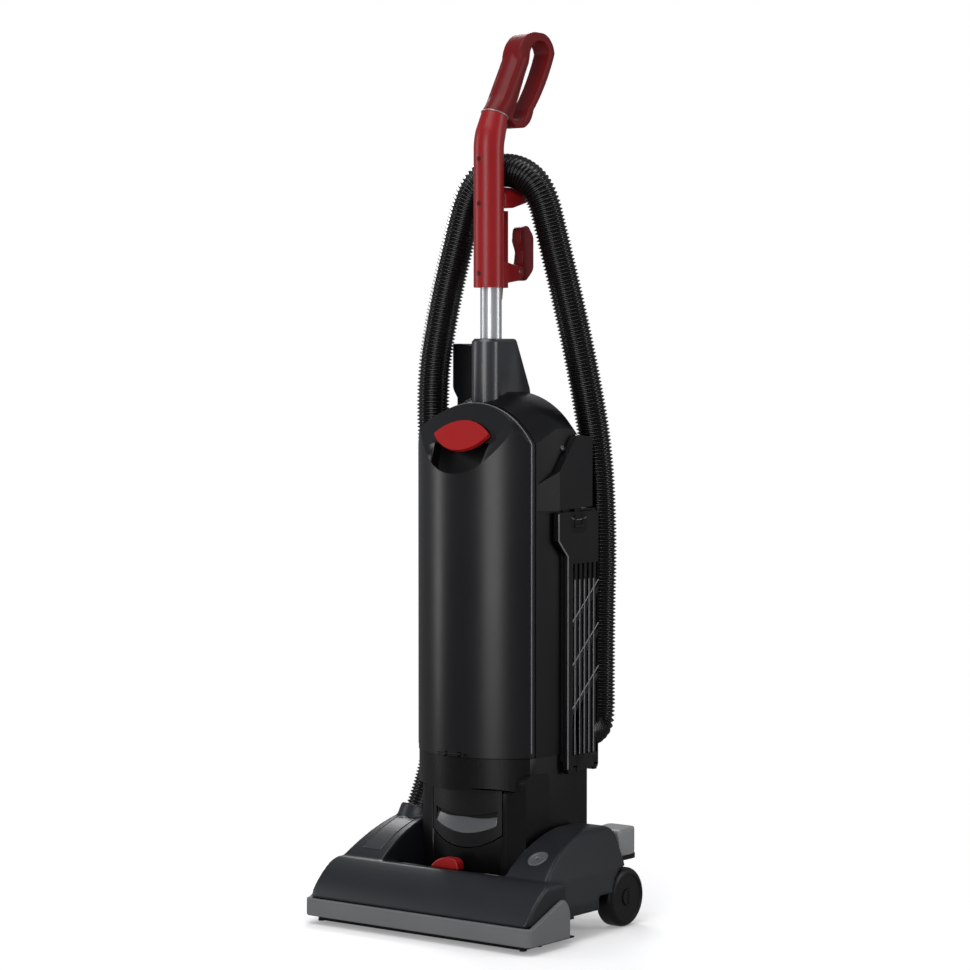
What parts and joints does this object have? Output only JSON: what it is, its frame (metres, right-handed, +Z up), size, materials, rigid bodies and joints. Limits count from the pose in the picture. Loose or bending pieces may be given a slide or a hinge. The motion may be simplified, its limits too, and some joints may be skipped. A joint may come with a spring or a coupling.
{
  "type": "upright vacuum cleaner",
  "caption": "Upright vacuum cleaner with a reclining body, hinged front cover, metal handle tube with a closed loop grip, ribbed hose over a hook, wide foot with brush roll, rollers and wheels.",
  "frame": {"origin": "on the floor, under the centre of the overall box of the rigid pieces", "axes": "+Z up, +X to the right seen from the front, +Y to the back"},
  "size_m": [0.381, 0.3226, 1.2128],
  "materials": {
    "black_casing": "satin",
    "dark_cover": "satin",
    "black_gloss": "polished",
    "grey_trim": "satin",
    "red_stem": "satin",
    "red_grip": "satin",
    "red_button": "polished",
    "black_hose": "satin",
    "black_rubber": "matte",
    "bright_tube": "polished",
    "steel": "brushed",
    "alloy": "satin",
    "wheel_plastic": "satin",
    "bristle": "matte",
    "bag_paper": "matte",
    "filter_paper": "matte"
  },
  "bodies": {
    "foot": {"foot_cover": "black_casing", "bumper": "grey_trim", "foot_base": "black_casing", "sole_plate": "black_casing", "foot_duct": "black_casing", "pivot_bushes": "black_gloss", "brush_bearings": "black_casing", "drive_belt": "black_rubber", "wheel_axles": "steel", "wheel_caps": "wheel_plastic", "foot_pins": "steel", "foot_screws": "steel", "foot_hose": "black_hose"},
    "body": {"lower_housing": "black_casing", "prefilter_cover": "dark_cover", "duct_cover": "black_casing", "motor": "alloy", "motor_mounts": "black_rubber", "rear_housing": "black_casing", "cover_seal": "black_rubber", "bag_dock": "black_casing", "filter_bag": "bag_paper", "hepa_filter": "filter_paper", "side_fairing": "black_casing", "collar": "black_gloss", "handle_tube": "bright_tube", "stem_front": "red_stem", "stem_rear": "red_stem", "loop_grip": "red_grip", "hose_hook": "red_stem", "lower_cord_hook": "black_casing", "cord_gland": "black_rubber", "port_elbow": "black_casing", "hose_connector": "black_casing", "hose_cuff": "black_casing", "crevice_tool": "dark_cover", "body_screws": "steel", "body_pins": "steel", "hose_long": "black_hose"},
    "wheel_left": {"rear_wheel_left": "wheel_plastic"},
    "wheel_right": {"rear_wheel_right": "wheel_plastic"},
    "carriage": {"front_carriage": "black_casing", "front_axle": "steel"},
    "rollers": {"front_rollers": "wheel_plastic"},
    "brush": {"brush_core": "alloy", "brush_tufts": "bristle"},
    "rotor": {"armature": "alloy", "fan": "black_casing", "motor_pulley": "alloy"},
    "slider": {"height_slider": "red_button"},
    "pedal": {"release_pedal": "grey_trim", "pedal_lever": "black_casing"},
    "cover": {"front_cover": "dark_cover", "latch_pin": "steel"},
    "latch": {"cover_latch": "red_button"},
    "side_door": {"filter_door": "black_casing"},
    "side_latch": {"door_latch": "black_casing"},
    "hook": {"cord_hook": "red_grip"},
    "switch": {"power_switch": "black_gloss"}
  },
  "joints": [
    {"name": "recline", "type": "hinge", "parent": "foot", "child": "body", "pos_m": [0, 0.02765, 0.092], "axis": [-1, 0, 0], "range_deg": [0, 70], "deforming": ["foot_hose"]},
    {"name": "left_wheel_spin", "type": "hinge", "parent": "foot", "child": "wheel_left", "pos_m": [-0.161, 0.08465, 0.04], "axis": [1, 0, 0], "continuous": true},
    {"name": "right_wheel_spin", "type": "hinge", "parent": "foot", "child": "wheel_right", "pos_m": [0.161, 0.08465, 0.04], "axis": [1, 0, 0], "continuous": true},
    {"name": "carriage_tilt", "type": "hinge", "parent": "foot", "child": "carriage", "pos_m": [0, 0.00365, 0.018], "axis": [1, 0, 0], "range_deg": [-2, 3]},
    {"name": "roller_spin", "type": "hinge", "parent": "carriage", "child": "rollers", "pos_m": [0, -0.05635, 0.009], "axis": [1, 0, 0], "continuous": true},
    {"name": "height_slide", "type": "slide", "parent": "foot", "child": "slider", "axis": [1, 0, 0], "range_m": [-0.028, 0.042]},
    {"name": "brush_spin", "type": "hinge", "parent": "foot", "child": "brush", "pos_m": [0, -0.11835, 0.0335], "axis": [1, 0, 0], "continuous": true},
    {"name": "motor_spin", "type": "hinge", "parent": "body", "child": "rotor", "pos_m": [0, 0.02765, 0.092], "axis": [1, 0, 0], "continuous": true},
    {"name": "pedal_press", "type": "hinge", "parent": "foot", "child": "pedal", "pos_m": [0.136, 0.06365, 0.1], "axis": [-1, 0, 0], "range_deg": [0, 10], "stiffness_Nm_per_rad": 1.5, "springref_deg": -8.59},
    {"name": "cover_open", "type": "hinge", "parent": "body", "child": "cover", "pos_m": [0, -0.07485, 0.237], "axis": [1, 0, 0], "range_deg": [0, 75]},
    {"name": "cover_latch_press", "type": "hinge", "parent": "cover", "child": "latch", "pos_m": [0, -0.04098, 0.67357], "axis": [-1, 0, 0], "range_deg": [0, 20], "stiffness_Nm_per_rad": 0.4, "springref_deg": -8.59},
    {"name": "side_door_open", "type": "hinge", "parent": "body", "child": "side_door", "pos_m": [0.104, 0.08365, 0.21], "axis": [0, 1, 0], "range_deg": [0, 60]},
    {"name": "side_latch_slide", "type": "slide", "parent": "side_door", "child": "side_latch", "axis": [0, 0, -1], "range_m": [0, 0.006], "stiffness_N_per_m": 150, "springref_m": -0.003},
    {"name": "cord_hook_turn", "type": "hinge", "parent": "body", "child": "hook", "pos_m": [0, 0.05665, 0.884], "axis": [-1, 0, 0], "range_deg": [0, 120]},
    {"name": "power_rock", "type": "hinge", "parent": "body", "child": "switch", "pos_m": [0, 0.0244, 1.07469], "axis": [1, 0, 0], "range_deg": [-8, 8]}
  ],
  "couplings": [
    {"joint": "carriage_tilt", "follows": "height_slide", "rad_per_m": 1.2217},
    {"joint": "brush_spin", "follows": "motor_spin", "ratio": 0.64286}
  ]
}
